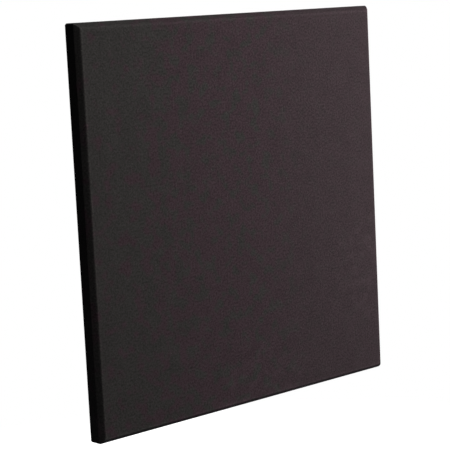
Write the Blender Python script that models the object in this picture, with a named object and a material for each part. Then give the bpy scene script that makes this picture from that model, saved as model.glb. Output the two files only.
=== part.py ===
"""A cloth-covered acoustic wall panel with bevelled front edges, pressed onto four impaling clips.

Frame: +X to the viewer's right, +Y back into the wall, +Z up, in metres. The origin lies on the face
of the wall, behind the middle of the panel.

Across the panel, a place is given by its inset, the distance in from the cloth's outside, and by its
depth, the distance back from the cloth's front face. Every layer follows the board's own profile, so
the layers stay the same distance apart round each edge.
"""

import math

import bmesh
import bpy
from mathutils import Vector

# The finished panel, measured outside its cloth
PANEL_WIDTH = 0.6096
PANEL_HEIGHT = 0.6096
BEVEL_WIDTH = 0.00635
BEVEL_DEPTH = 0.0084

# The glass-wool board
BOARD_THICKNESS = 0.0254
BOARD_EDGE_RADIUS = 0.00065
BOARD_CORNER_RADIUS = 0.00165
MITRE_RADIUS = 0.0005

# The layers on the board, and the clearance between any two pieces
FACING_THICKNESS = 0.00025
CLOTH_THICKNESS = 0.0005
CLEARANCE = 0.0003

# The cloth's turned-over edge on the back, and its folded corners
RETURN_WIDTH = 0.038
PLEAT_MARGIN = 0.0012

# The impaling clips: stamped plates with two columns of barbs
CLIP_SIDE_INSET = 0.140
CLIP_END_INSET = 0.140
CLIP_THICKNESS = 0.0012
CLIP_CORNER_RADIUS = 0.003
CLIP_EDGE = 0.005
CLIP_WEB = 0.0088
BARB_ROWS = 4
BARB_PITCH = 0.0135
BARB_REACH = 0.016
BARB_BASE_WIDTH = 0.0042
BARB_TIP_WIDTH = 0.0006
BARB_BEND_RADIUS = 0.0006

# The screws that hold the clips to the wall
SCREW_LENGTH = 0.019
SCREW_SHANK_RADIUS = 0.0021
SCREW_POINT_LENGTH = 0.006
SCREW_POINT_RADIUS = 0.0003
SCREW_HEAD_RADIUS = 0.004
SCREW_HEAD_HEIGHT = 0.0026
SCREW_HEAD_SIDE = 0.0009
SCREW_CROWN_RADIUS = 0.0028
RECESS_SPAN = 0.0044
RECESS_WIDTH = 0.0011
RECESS_DEPTH = 0.0017
RECESS_FLOOR_SHARE = 0.6

# How finely round shapes are divided
CORNER_STEPS = 6
EDGE_STEPS = 4
BEND_STEPS = 5
CROWN_STEPS = 4
CIRCLE_STEPS = 20

# Layers, measured in from the outside of the cloth
FACING_OUTSIDE = CLOTH_THICKNESS + CLEARANCE
FACING_INSIDE = FACING_OUTSIDE + FACING_THICKNESS
BOARD_OUTSIDE = FACING_INSIDE + CLEARANCE
CLOTH_EDGE_RADIUS = BOARD_EDGE_RADIUS + BOARD_OUTSIDE

# Depths behind the front face
BOARD_BACK = BOARD_OUTSIDE + BOARD_THICKNESS
BACK_FACING_FRONT = BOARD_BACK + CLEARANCE
BACK_FACING_BACK = BACK_FACING_FRONT + FACING_THICKNESS
PANEL_DEPTH = BOARD_BACK + BOARD_OUTSIDE
CLIP_FRONT = BACK_FACING_BACK + CLEARANCE
WALL_DEPTH = CLIP_FRONT + CLIP_THICKNESS

# The barbs, as they are cut flat and then bent up, and the plate that they leave
BEND_OUTSIDE = CLIP_THICKNESS + BARB_BEND_RADIUS
BEND_LENGTH = math.radians(90) * (BARB_BEND_RADIUS + CLIP_THICKNESS / 2)
BARB_STRAIGHT = BARB_REACH - BARB_BEND_RADIUS
BARB_TIP_DEPTH = CLIP_THICKNESS + BARB_REACH
WINDOW_LENGTH = BEND_LENGTH + BARB_STRAIGHT + CLEARANCE
CLIP_WIDTH = 2 * (CLIP_EDGE + WINDOW_LENGTH) + CLIP_WEB
CLIP_HEIGHT = BARB_ROWS * BARB_PITCH
BEND_LINE = CLIP_WIDTH / 2 - CLIP_EDGE
BARB_HEIGHTS = [(row - (BARB_ROWS - 1) / 2) * BARB_PITCH for row in range(BARB_ROWS)]

# Where the clips and their screws are
CLIP_X = PANEL_WIDTH / 2 - CLIP_SIDE_INSET
CLIP_Z = PANEL_HEIGHT / 2 - CLIP_END_INSET
SCREW_OFFSET = (BARB_ROWS / 2 - 1) * BARB_PITCH
SCREW_HOLE_RADIUS = SCREW_SHANK_RADIUS + CLEARANCE


def make_material(name, colour, roughness, metallic=0.0):
    material = bpy.data.materials.new(name)
    material.use_nodes = True
    shader = material.node_tree.nodes["Principled BSDF"]
    shader.inputs["Base Color"].default_value = (*colour, 1.0)
    shader.inputs["Roughness"].default_value = roughness
    shader.inputs["Metallic"].default_value = metallic
    return material


def make_parent(name, location):
    empty = bpy.data.objects.new(name, None)
    empty.location = location
    bpy.context.scene.collection.objects.link(empty)
    return empty


def make_object(name, mesh, parent, location=(0, 0, 0), rotation=(0, 0, 0)):
    piece = bpy.data.objects.new(name, mesh)
    piece.parent = parent
    piece.location = location
    piece.rotation_euler = rotation
    bpy.context.scene.collection.objects.link(piece)
    return piece


def make_tool(name, mesh, parent, location=(0, 0, 0)):
    """A shape that only cuts or joins another piece, and isn't a piece itself."""
    tool = make_object(name, mesh, parent, location)
    tool.hide_render = True
    tool.display_type = "WIRE"
    return tool


def combine(piece, tool, operation):
    change = piece.modifiers.new(tool.name, "BOOLEAN")
    change.operation = operation
    change.object = tool


def finish_mesh(shape, name, material=None, smooth_angle=None):
    """Turn a bmesh into a mesh, shaded smooth wherever its edges are gentler than the angle."""
    mesh = bpy.data.meshes.new(name)
    shape.to_mesh(mesh)
    shape.free()
    if material is not None:
        mesh.materials.append(material)
    if smooth_angle is not None:
        mesh.shade_smooth()
        mesh.set_sharp_from_angle(angle=smooth_angle)
    return mesh


def bridge(shape, first, second):
    """Join two closed rings of vertices with a band of quads."""
    for i, vertex in enumerate(first):
        j = (i + 1) % len(first)
        shape.faces.new((vertex, first[j], second[j], second[i]))


def loft(shape, rings):
    """Join rings of points in turn, and return their vertices."""
    loops = [[shape.verts.new(point) for point in ring] for ring in rings]
    for first, second in zip(loops, loops[1:]):
        bridge(shape, first, second)
    return loops


def closed_loft(rings, name, material=None, smooth_angle=None):
    """A closed body through the rings, with a flat face over the first ring and over the last."""
    shape = bmesh.new()
    loops = loft(shape, rings)
    shape.faces.new(loops[0])
    shape.faces.new(loops[-1])
    bmesh.ops.recalc_face_normals(shape, faces=shape.faces)
    return finish_mesh(shape, name, material, smooth_angle)


def rounded_rectangle(half_width, half_height, radius):
    """Points (x, z) round a rectangle whose corners are arcs."""
    points = []
    for quarter, (side, end) in enumerate([(1, 1), (-1, 1), (-1, -1), (1, -1)]):
        for step in range(CORNER_STEPS + 1):
            angle = math.radians(90) * (quarter + step / CORNER_STEPS)
            x = side * (half_width - radius) + radius * math.cos(angle)
            z = end * (half_height - radius) + radius * math.sin(angle)
            points.append((x, z))
    return points


def circle(radius):
    angles = [math.radians(360) * step / CIRCLE_STEPS for step in range(CIRCLE_STEPS)]
    return [(radius * math.cos(angle), radius * math.sin(angle)) for angle in angles]


def panel_ring(inset, depth):
    """The panel's outline at an inset and depth. Its round corners tighten to mitres further in."""
    radius = max(BOARD_CORNER_RADIUS + BOARD_OUTSIDE - inset, MITRE_RADIUS)
    outline = rounded_rectangle(PANEL_WIDTH / 2 - inset, PANEL_HEIGHT / 2 - inset, radius)
    return [(x, depth, z) for x, z in outline]


def layer_profile(offset, start):
    """The edge of one surface, as (inset, depth) points that run from the back to the front face.

    The profile follows the start points, the side, the bevel and the face. It lies offset inside the
    cloth's outside, and its corners are arcs about the same centres in every layer.
    """
    face_middle = (PANEL_WIDTH / 2, 0)
    corners = [Vector(p) for p in [*start, (0, BEVEL_DEPTH), (BEVEL_WIDTH, 0), face_middle]]
    runs = [(b - a).normalized() for a, b in zip(corners, corners[1:])]
    inward = [Vector((-run.y, run.x)) for run in runs]
    points = [corners[0] + inward[0] * offset]
    for corner, before, after in zip(corners[1:], inward, inward[1:]):
        centre = corner + (before + after) * (CLOTH_EDGE_RADIUS / (1 + before.dot(after)))
        for step in range(EDGE_STEPS + 1):
            out = -before.slerp(after, step / EDGE_STEPS)
            points.append(centre + out * (CLOTH_EDGE_RADIUS - offset))
    return [tuple(point) for point in points]


def shell_rings(outside, inside):
    """Rings of a thin shell: from the face over one surface to the open edge, and back under it."""
    return [panel_ring(*point) for point in [*reversed(outside), *inside]]


def build_core_board(panel, material):
    """The glass-wool board: square-cut at the back, with a bevel round the front."""
    profile = layer_profile(BOARD_OUTSIDE, [(PANEL_WIDTH / 2, PANEL_DEPTH), (0, PANEL_DEPTH)])
    rings = [panel_ring(*point) for point in profile[1:]]
    mesh = closed_loft(rings, "core_board", material)
    return make_object("core_board", mesh, panel)


def build_front_facing(panel, material):
    """Tissue over the board's face, bevels and sides, down to where its back edge turns."""
    rim = [(0, BOARD_BACK - BOARD_EDGE_RADIUS)]
    outside = layer_profile(FACING_OUTSIDE, rim)
    inside = layer_profile(FACING_INSIDE, rim)
    mesh = closed_loft(shell_rings(outside, inside), "front_facing", material)
    return make_object("front_facing", mesh, panel)


def build_back_facing(panel, material):
    """Tissue over the flat of the board's back."""
    inset = BOARD_OUTSIDE + BOARD_EDGE_RADIUS
    rings = [panel_ring(inset, BACK_FACING_FRONT), panel_ring(inset, BACK_FACING_BACK)]
    return make_object("back_facing", closed_loft(rings, "back_facing", material), panel)


def pleat_outline(side, end):
    """The doubled cloth at a back corner: a triangle with its long edge on the mitre."""
    near = CLOTH_EDGE_RADIUS + PLEAT_MARGIN
    far = RETURN_WIDTH - PLEAT_MARGIN
    insets = [(near, near), (far, far), (far, near)]
    return [(side * (PANEL_WIDTH / 2 - p), end * (PANEL_HEIGHT / 2 - q)) for p, q in insets]


def build_fabric_cover(panel, material):
    """One cloth over the face, bevels and sides, turned over onto the back and pleated there."""
    back = [(RETURN_WIDTH, PANEL_DEPTH), (0, PANEL_DEPTH)]
    outside = layer_profile(0, back)
    inside = layer_profile(CLOTH_THICKNESS, back)
    mesh = closed_loft(shell_rings(outside, inside), "fabric_cover", material, math.radians(30))
    cover = make_object("fabric_cover", mesh, panel)
    for side in (-1, 1):
        for end in (-1, 1):
            outline = pleat_outline(side, end)
            depths = (PANEL_DEPTH - CLOTH_THICKNESS / 2, PANEL_DEPTH + CLOTH_THICKNESS)
            rings = [[(x, depth, z) for x, z in outline] for depth in depths]
            combine(cover, make_tool("corner_pleat", closed_loft(rings, "pleat"), panel), "UNION")
    return cover


def half_width_of_barb(along):
    """Half a barb's width, at a distance along it from the end of its bend."""
    share = along / BARB_STRAIGHT
    return (BARB_BASE_WIDTH + (BARB_TIP_WIDTH - BARB_BASE_WIDTH) * share) / 2


def window_outline(side, height):
    """The hole that a barb leaves in the plate. The barb stays joined on between its two end points."""
    base = half_width_of_barb(0)
    tip = half_width_of_barb(BARB_STRAIGHT)
    upper = [(0, base), (0, base + CLEARANCE), (BEND_LENGTH, base + CLEARANCE)]
    upper.append((WINDOW_LENGTH, tip + CLEARANCE))
    lower = [(along, -across) for along, across in reversed(upper)]
    return [(side * (BEND_LINE - along), height + across) for along, across in upper + lower]


def add_barb(shape, root, side, height):
    """Bend a strip up from its root in the plate and taper it to a point."""
    sections = []
    for step in range(1, BEND_STEPS + 1):
        turn = math.radians(90) * step / BEND_STEPS
        x = BEND_LINE - BEND_OUTSIDE * math.sin(turn)
        y = -BEND_OUTSIDE * (1 - math.cos(turn))
        sections.append((x, y, half_width_of_barb(0)))
    sections.append((BEND_LINE - BEND_OUTSIDE, -BARB_TIP_DEPTH, half_width_of_barb(BARB_STRAIGHT)))
    last = root
    for x, y, half in sections:
        row = [shape.verts.new((side * x, y, height + half * end)) for end in (1, -1)]
        shape.faces.new((last[0], last[1], row[1], row[0]))
        last = row


def build_clip_mesh(material):
    """The wall side of a clip as one bent sheet. Its thickness is added by each clip's modifier."""
    shape = bmesh.new()
    outlines = [rounded_rectangle(CLIP_WIDTH / 2, CLIP_HEIGHT / 2, CLIP_CORNER_RADIUS)]
    outlines += [
        [(x, z + end * SCREW_OFFSET) for x, z in circle(SCREW_HOLE_RADIUS)] for end in (-1, 1)
    ]
    places = [(side, height) for side in (-1, 1) for height in BARB_HEIGHTS]
    outlines += [window_outline(side, height) for side, height in places]
    loops = [[shape.verts.new((x, 0, z)) for x, z in outline] for outline in outlines]
    edges = [shape.edges.new((a, b)) for loop in loops for a, b in zip(loop, loop[1:] + loop[:1])]
    bmesh.ops.triangle_fill(shape, use_beauty=True, edges=edges, normal=(0, 1, 0))
    for (side, height), window in zip(places, loops[3:]):
        add_barb(shape, (window[0], window[-1]), side, height)
    bmesh.ops.recalc_face_normals(shape, faces=shape.faces)
    plate_face = loops[0][0].link_faces[0]
    if plate_face.normal.y < 0:
        bmesh.ops.reverse_faces(shape, faces=shape.faces)
    for face in shape.faces:
        face.smooth = True
    for edge in shape.edges:
        edge.smooth = not edge.is_boundary
    return finish_mesh(shape, "impaling_clip", material)


def build_clip(name, mesh, wall, location):
    clip = make_object(name, mesh, wall, location)
    sheet = clip.modifiers.new("sheet", "SOLIDIFY")
    sheet.thickness = CLIP_THICKNESS
    sheet.offset = -1
    sheet.use_even_offset = True
    return clip


def slot_rings(side, height):
    """The slot that one barb pierces: the barb's own taper, with clearance all round."""
    end = -BARB_TIP_DEPTH - CLEARANCE
    levels = [(-CLIP_THICKNESS, 0), (-BEND_OUTSIDE, 0), (end, BARB_STRAIGHT)]
    near_x = BEND_LINE - BARB_BEND_RADIUS + CLEARANCE
    far_x = BEND_LINE - BEND_OUTSIDE - CLEARANCE
    rings = []
    for y, along in levels:
        half = half_width_of_barb(along) + CLEARANCE
        corners = [(near_x, half), (far_x, half), (far_x, -half), (near_x, -half)]
        rings.append([(side * x, y, height + across) for x, across in corners])
    return rings


def build_clip_room():
    """Everything of a clip and its screws that presses into the board, with clearance."""
    shape = bmesh.new()
    for side in (-1, 1):
        for height in BARB_HEIGHTS:
            loops = loft(shape, slot_rings(side, height))
            shape.faces.new(loops[0])
            shape.faces.new(loops[-1])
    head_depth = CLIP_THICKNESS + CLEARANCE + SCREW_HEAD_HEIGHT + CLEARANCE
    for end in (-1, 1):
        outline = circle(SCREW_HEAD_RADIUS + CLEARANCE)
        rings = [
            [(x, y, z + end * SCREW_OFFSET) for x, z in outline] for y in (-CLIP_THICKNESS, -head_depth)
        ]
        loops = loft(shape, rings)
        shape.faces.new(loops[0])
        shape.faces.new(loops[-1])
    bmesh.ops.recalc_face_normals(shape, faces=shape.faces)
    return finish_mesh(shape, "clip_room")


def recess_outline(scale):
    """A cross, as the driver's tip has it."""
    arm = scale * RECESS_SPAN / 2
    half = scale * RECESS_WIDTH / 2
    quarter = [(arm, half), (half, half), (half, arm)]
    outline = []
    for _ in range(4):
        outline += quarter
        quarter = [(-y, x) for x, y in quarter]
    return outline


def screw_profile():
    """(radius, height) points of a pan-head screw, from its point to the rim of its flat crown."""
    points = [
        (SCREW_POINT_RADIUS, -SCREW_LENGTH),
        (SCREW_SHANK_RADIUS, -SCREW_LENGTH + SCREW_POINT_LENGTH),
        (SCREW_SHANK_RADIUS, 0),
        (SCREW_HEAD_RADIUS, 0),
    ]
    for step in range(CROWN_STEPS + 1):
        turn = math.radians(90) * step / CROWN_STEPS
        radius = SCREW_CROWN_RADIUS + (SCREW_HEAD_RADIUS - SCREW_CROWN_RADIUS) * math.cos(turn)
        height = SCREW_HEAD_SIDE + (SCREW_HEAD_HEIGHT - SCREW_HEAD_SIDE) * math.sin(turn)
        points.append((radius, height))
    return points


def build_screw_mesh(material):
    """A pan-head screw along Z with its seat at the origin and a cross recess in its crown."""
    shape = bmesh.new()
    rings = [[(x, y, height) for x, y in circle(radius)] for radius, height in screw_profile()]
    loops = loft(shape, rings)
    shape.faces.new(loops[0])
    heights = (SCREW_HEAD_HEIGHT, SCREW_HEAD_HEIGHT - RECESS_DEPTH)
    shares = (1, RECESS_FLOOR_SHARE)
    crosses = [[(x, y, z) for x, y in recess_outline(share)] for share, z in zip(shares, heights)]
    recess = loft(shape, crosses)
    shape.faces.new(recess[-1])
    rims = [loops[-1], recess[0]]
    edges = [shape.edges.get((a, b)) for rim in rims for a, b in zip(rim, rim[1:] + rim[:1])]
    bmesh.ops.triangle_fill(shape, use_beauty=True, edges=edges, normal=(0, 0, 1))
    bmesh.ops.recalc_face_normals(shape, faces=shape.faces)
    return finish_mesh(shape, "screw", material, math.radians(35))


def main():
    for thing in list(bpy.data.objects):
        bpy.data.objects.remove(thing)

    cloth = make_material("charcoal_cloth", (0.045, 0.038, 0.040), 0.95)
    tissue = make_material("black_tissue", (0.020, 0.020, 0.020), 0.90)
    wool = make_material("glass_wool", (0.560, 0.420, 0.160), 1.00)
    zinc = make_material("galvanised_steel", (0.560, 0.570, 0.580), 0.42, 1.0)
    plated = make_material("plated_screw", (0.640, 0.600, 0.480), 0.35, 1.0)

    wall = make_parent("wall", (0, 0, 0))
    panel = make_parent("panel", (0, -WALL_DEPTH, 0))

    board = build_core_board(panel, wool)
    build_front_facing(panel, tissue)
    back_facing = build_back_facing(panel, tissue)
    build_fabric_cover(panel, cloth)

    clip_mesh = build_clip_mesh(zinc)
    screw_mesh = build_screw_mesh(plated)
    room_mesh = build_clip_room()
    head_seat = -CLIP_THICKNESS - CLEARANCE
    facing_forward = (math.radians(90), 0, 0)
    for end, end_name in ((1, "top"), (-1, "bottom")):
        for side, side_name in ((-1, "left"), (1, "right")):
            corner = f"{end_name}_{side_name}"
            x, z = side * CLIP_X, end * CLIP_Z
            build_clip(f"clip_{corner}", clip_mesh, wall, (x, 0, z))
            room = make_tool(f"room_{corner}", room_mesh, wall, (x, 0, z))
            combine(board, room, "DIFFERENCE")
            combine(back_facing, room, "DIFFERENCE")
            for above, height_name in ((1, "upper"), (-1, "lower")):
                seat = (x, head_seat, z + above * SCREW_OFFSET)
                name = f"screw_{corner}_{height_name}"
                make_object(name, screw_mesh, wall, seat, facing_forward)


main()
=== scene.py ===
# %% [markdown]
# A cloth-covered acoustic panel, dressed for its portrait.
#
# The real object is a rigid glass-wool board with bevelled front edges. Thin black tissue is bonded to
# it, and one piece of charcoal cloth is pulled over the front, turned over onto the back and glued
# there. Four barbed clips, screwed to a wall, hold the panel up.
#
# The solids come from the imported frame. They have the right sizes, and they carry the motion. This
# script adds what the eye wants: the cloth with its weave and its soft edges, the fibres of the tissue,
# threads on the screws and the finish of the metal.

# %% Load the frame
import math

import bpy
import numpy as np
from mathutils import Matrix, Vector


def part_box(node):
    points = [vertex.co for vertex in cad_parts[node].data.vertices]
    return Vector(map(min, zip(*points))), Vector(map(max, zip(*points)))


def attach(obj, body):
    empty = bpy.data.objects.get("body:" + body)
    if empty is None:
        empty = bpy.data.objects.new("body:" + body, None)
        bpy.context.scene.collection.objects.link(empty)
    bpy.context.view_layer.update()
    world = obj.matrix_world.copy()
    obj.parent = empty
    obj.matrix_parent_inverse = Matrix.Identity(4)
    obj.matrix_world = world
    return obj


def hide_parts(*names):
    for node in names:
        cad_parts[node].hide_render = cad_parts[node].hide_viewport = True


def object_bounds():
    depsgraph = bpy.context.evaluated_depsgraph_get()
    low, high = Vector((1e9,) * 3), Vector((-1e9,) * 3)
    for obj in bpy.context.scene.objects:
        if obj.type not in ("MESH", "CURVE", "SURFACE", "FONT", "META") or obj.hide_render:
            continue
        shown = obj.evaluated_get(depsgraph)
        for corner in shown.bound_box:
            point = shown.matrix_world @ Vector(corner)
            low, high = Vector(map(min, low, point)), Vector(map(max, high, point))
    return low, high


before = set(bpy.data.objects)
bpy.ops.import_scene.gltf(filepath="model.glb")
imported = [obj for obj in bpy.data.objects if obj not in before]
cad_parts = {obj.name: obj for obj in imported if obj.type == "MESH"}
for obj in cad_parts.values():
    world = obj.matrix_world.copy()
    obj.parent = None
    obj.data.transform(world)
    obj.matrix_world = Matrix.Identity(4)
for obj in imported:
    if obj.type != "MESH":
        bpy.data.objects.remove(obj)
cad_low, cad_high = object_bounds()

# %% [markdown]
# Sizes first. Whatever the frame already knows is read from it, so that nothing here can drift away
# from the solids. The frame's x runs to the right, y back into the wall and z up, and its origin lies
# on the wall behind the middle of the panel. The rest are driving dimensions in metres: the bevel, the
# radii that a cloth takes round an edge, and the thickness of each layer. The cloth rounds off the
# crease between face and bevel more softly than the other edges, because its own stiffness holds it
# away from the board there.

# %% Sizes of the panel and its layers
cover_low, cover_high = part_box("fabric_cover")
board_low, board_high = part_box("core_board")
tissue_low, tissue_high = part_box("back_facing")

HALF_WIDTH = cover_high.x
HALF_HEIGHT = cover_high.z
FRONT = cover_low.y
BOARD_SUNK = board_low.y - FRONT
PANEL_DEPTH = board_high.y - FRONT + BOARD_SUNK

CLOTH_THICKNESS = 0.0005
TISSUE_THICKNESS = tissue_high.y - tissue_low.y
CLEARANCE = 0.0003
TISSUE_SUNK = CLOTH_THICKNESS + CLEARANCE

BEVEL_WIDTH = 0.00635
BEVEL_DEPTH = 0.0084
CREASE_RADIUS = 0.0038
EDGE_RADIUS = 0.002
CORNER_RADIUS = 0.0036
MITRE_RADIUS = 0.0013
RETURN_WIDTH = 0.038
BOARD_EDGE_RADIUS = EDGE_RADIUS - BOARD_SUNK

print(f"panel {2 * HALF_WIDTH:.4f} x {2 * HALF_HEIGHT:.4f} m, {1000 * PANEL_DEPTH:.1f} mm deep")

# %% [markdown]
# The camera stands where the photographer stood: to the left of the panel, a little higher than its top
# edge, two and a half metres away, behind a long lens. It could be aimed with a Track To constraint, but
# the picture also leans by three degrees, so the camera's three axes are worked out and put in its
# matrix.

# %% Camera
CAMERA_PLACE = Vector((-1.7134, -1.8614, 0.3301))
CAMERA_HEADING = math.radians(42.352)
CAMERA_DIP = math.radians(7.933)
CAMERA_LEAN = math.radians(2.892)
CAMERA_LENS = 130.6


def make_camera():
    """The camera's axes: ahead from its heading and dip, right level with the floor, then both leant."""
    ahead = Vector((
        math.sin(CAMERA_HEADING) * math.cos(CAMERA_DIP),
        math.cos(CAMERA_HEADING) * math.cos(CAMERA_DIP),
        -math.sin(CAMERA_DIP),
    ))
    level = ahead.cross(Vector((0, 0, 1))).normalized()
    upright = level.cross(ahead)
    up = upright * math.cos(CAMERA_LEAN) + level * math.sin(CAMERA_LEAN)
    right = ahead.cross(up)
    camera = bpy.data.objects.new("camera", bpy.data.cameras.new("camera"))
    bpy.context.scene.collection.objects.link(camera)
    camera.matrix_world = Matrix.Translation(CAMERA_PLACE) @ Matrix((right, up, -ahead)).transposed().to_4x4()
    camera.data.lens = CAMERA_LENS
    bpy.context.scene.camera = camera
    return camera


camera = make_camera()
bpy.context.scene.view_settings.view_transform = "Standard"
print("camera", tuple(round(v, 3) for v in camera.location), "lens", camera.data.lens)

# %% [markdown]
# Every finish in this scene is a tree of nodes. A tree is quicker to read when each node is one line,
# so these helpers add a node, set its choices and join its inputs in a single call.

# %% Node helpers


def add_node(tree, kind, sockets=None, **settings):
    """Add one node. Settings are its own choices, and sockets maps inputs to values or to links."""
    node = tree.nodes.new("ShaderNode" + kind)
    for name, value in settings.items():
        setattr(node, name, value)
    for key, value in (sockets or {}).items():
        if isinstance(value, bpy.types.NodeSocket):
            tree.links.new(value, node.inputs[key])
        else:
            node.inputs[key].default_value = value
    return node


def math_node(tree, operation, *values):
    """One step of arithmetic on values or links."""
    return add_node(tree, "Math", dict(enumerate(values)), operation=operation).outputs[0]


def ramp(tree, value, start, end, low=0.0, high=1.0):
    """Carry start to end onto low to high with a smooth step, and hold still outside."""
    return add_node(
        tree, "MapRange", {"Value": value, 1: start, 2: end, 3: low, 4: high}, interpolation_type="SMOOTHSTEP"
    ).outputs[0]


def object_place(tree):
    """The place of a point on its piece, in metres."""
    return add_node(tree, "TexCoord").outputs["Object"]


def empty_material(name):
    """A new material whose node tree is still empty, and that tree."""
    material = bpy.data.materials.new(name)
    material.use_nodes = True
    tree = material.node_tree
    tree.nodes.clear()
    return material, tree


def seen_directly(tree):
    """1 for rays from the camera, from a mirror or through glass, and 0 for light that bounces."""
    rays = add_node(tree, "LightPath").outputs
    either = math_node(tree, "MAXIMUM", rays["Is Camera Ray"], rays["Is Glossy Ray"])
    return math_node(tree, "MAXIMUM", either, rays["Is Transmission Ray"])


print("nodes can be added, joined and ramped")

# %% [markdown]
# The floor is a plain pale sheet below the panel, as below a panel that hangs on a wall. A lit floor
# alone would turn grey with distance, so for the camera it also glows: a little near the panel, where
# the lamps bring it up to white and the panel's shadow still darkens it, and fully further off, where
# the glow alone is white and the lamps add nothing. Every other ray meets a plain matt floor, so the
# glow throws no light on the dark cloth.

# %% Floor
FLOOR_DROP = 0.25
FLOOR_SIZE = 30.0
FLOOR_SHADE = 0.80
BOUNCE_COLOUR = (0.22, 0.225, 0.24, 1.0)
GLOW_NEAR = 0.55
GLOW_START = 0.35
GLOW_END = 0.85
MATT_START = 0.60
MATT_END = 1.00
WHITE = (1, 1, 1, 1)


def make_floor_material():
    """Matt, with a glow that rises with the distance from the panel, while the matt share fades."""
    material, tree = empty_material("pale_floor")
    level = {0: object_place(tree), 1: (1, 1, 0)}
    flat = add_node(tree, "VectorMath", level, operation="MULTIPLY").outputs[0]
    away = add_node(tree, "VectorMath", {0: flat}, operation="LENGTH").outputs["Value"]
    strength = ramp(tree, away, GLOW_START, GLOW_END, GLOW_NEAR, 1.0)
    shade = ramp(tree, away, MATT_START, MATT_END, FLOOR_SHADE, 0.0)
    matt = add_node(tree, "BsdfDiffuse", {"Color": shade})
    glow = add_node(tree, "Emission", {"Color": WHITE, "Strength": strength})
    both = add_node(tree, "AddShader", {0: matt.outputs[0], 1: glow.outputs[0]})
    bounce = add_node(tree, "BsdfDiffuse", {"Color": BOUNCE_COLOUR})
    seen = add_node(tree, "MixShader", {0: seen_directly(tree), 1: bounce.outputs[0], 2: both.outputs[0]})
    add_node(tree, "OutputMaterial", {"Surface": seen.outputs[0]})
    return material


def make_floor():
    """One big square, level, below the foot of the panel."""
    half = FLOOR_SIZE / 2
    height = cad_low.z - FLOOR_DROP
    mesh = bpy.data.meshes.new("floor")
    corners = [(-half, -half, height), (half, -half, height), (half, half, height), (-half, half, height)]
    mesh.from_pydata(corners, [], [(0, 1, 2, 3)])
    mesh.materials.append(make_floor_material())
    floor = bpy.data.objects.new("floor", mesh)
    bpy.context.scene.collection.objects.link(floor)
    return floor


floor = make_floor()
print("floor at z", round(floor.data.vertices[0].co.z, 3))

# %% [markdown]
# The light is two soft boxes. One hangs high in front of the panel, gives most of the light, and grazes
# the left bevel, more at its top than at its foot. The other stands to the right, so that the face is
# brightest along its right edge. The left side sees neither and falls almost to black, and so does the
# bevel underneath. A third lamp, on the wall's side, shows the clips to anyone who walks round. The
# world is white where it is looked at and dim as a source of light, as in a room with dark walls.

# %% Lamps and world
FRONT_PLACE = (0.35, -1.20, 1.05)
FRONT_SIZE = 0.8
FRONT_POWER = 18.9
RIGHT_PLACE = (1.14, -0.50, 0.14)
RIGHT_SIZE = 0.7
RIGHT_POWER = 12.4
LAMP_COLOUR = (1.0, 0.985, 0.985)
BACK_PLACE = (0.9, 1.7, 0.9)
BACK_SIZE = 1.2
BACK_POWER = 36.0
WORLD_COLOUR = (0.88, 0.92, 1.0, 1.0)
WORLD_FILL = 0.015


def make_lamp(name, place, size, power, colour=(1, 1, 1)):
    """A square lamp that faces the middle of the panel."""
    data = bpy.data.lights.new(name, "AREA")
    data.size = size
    data.energy = power
    data.color = colour
    lamp = bpy.data.objects.new(name, data)
    lamp.location = place
    lamp.rotation_euler = (-Vector(place)).to_track_quat("-Z", "Y").to_euler()
    bpy.context.scene.collection.objects.link(lamp)


def make_world():
    """White where it is looked at, and dim for every other ray."""
    world = bpy.data.worlds.new("studio")
    world.use_nodes = True
    tree = world.node_tree
    tree.nodes.clear()
    white = add_node(tree, "Background", {"Color": WHITE, "Strength": 1.0})
    dim = add_node(tree, "Background", {"Color": WORLD_COLOUR, "Strength": WORLD_FILL})
    mixed = add_node(tree, "MixShader", {0: seen_directly(tree), 1: dim.outputs[0], 2: white.outputs[0]})
    add_node(tree, "OutputWorld", {"Surface": mixed.outputs[0]})
    bpy.context.scene.world = world


make_lamp("front_lamp", FRONT_PLACE, FRONT_SIZE, FRONT_POWER, LAMP_COLOUR)
make_lamp("right_lamp", RIGHT_PLACE, RIGHT_SIZE, RIGHT_POWER, LAMP_COLOUR)
make_lamp("back_lamp", BACK_PLACE, BACK_SIZE, BACK_POWER)
make_world()

# %% [markdown]
# Now the form of the cloth. Seen in section at the panel's edge, it runs out along the face, turns down
# the bevel, turns again down the side, and turns under onto the back. A box with a Bevel modifier could
# give such edges, but then the weave would have no path to follow. So the section is a formula: each
# corner is an arc about a centre that all the layers share, and a layer that lies deeper has a smaller
# radius. The result is a list of insets from the outside and depths behind the face.

# %% The section of a layer at the panel's edge
TURN_STEPS = 6
BEVEL_TILT = math.atan2(BEVEL_DEPTH, BEVEL_WIDTH)
OUTWARD = np.radians([-90, -90 - math.degrees(BEVEL_TILT), -180, -270])
CORNERS = np.array([(BEVEL_WIDTH, 0), (0, BEVEL_DEPTH), (0, PANEL_DEPTH)])
RADII = (CREASE_RADIUS, EDGE_RADIUS, EDGE_RADIUS)
CLOTH_RUN_STEPS = (4, 8, 18)


def direction(angle):
    """Unit vectors (cosine, sine) of one or many angles."""
    return np.stack([np.cos(angle), np.sin(angle)], axis=-1)


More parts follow.
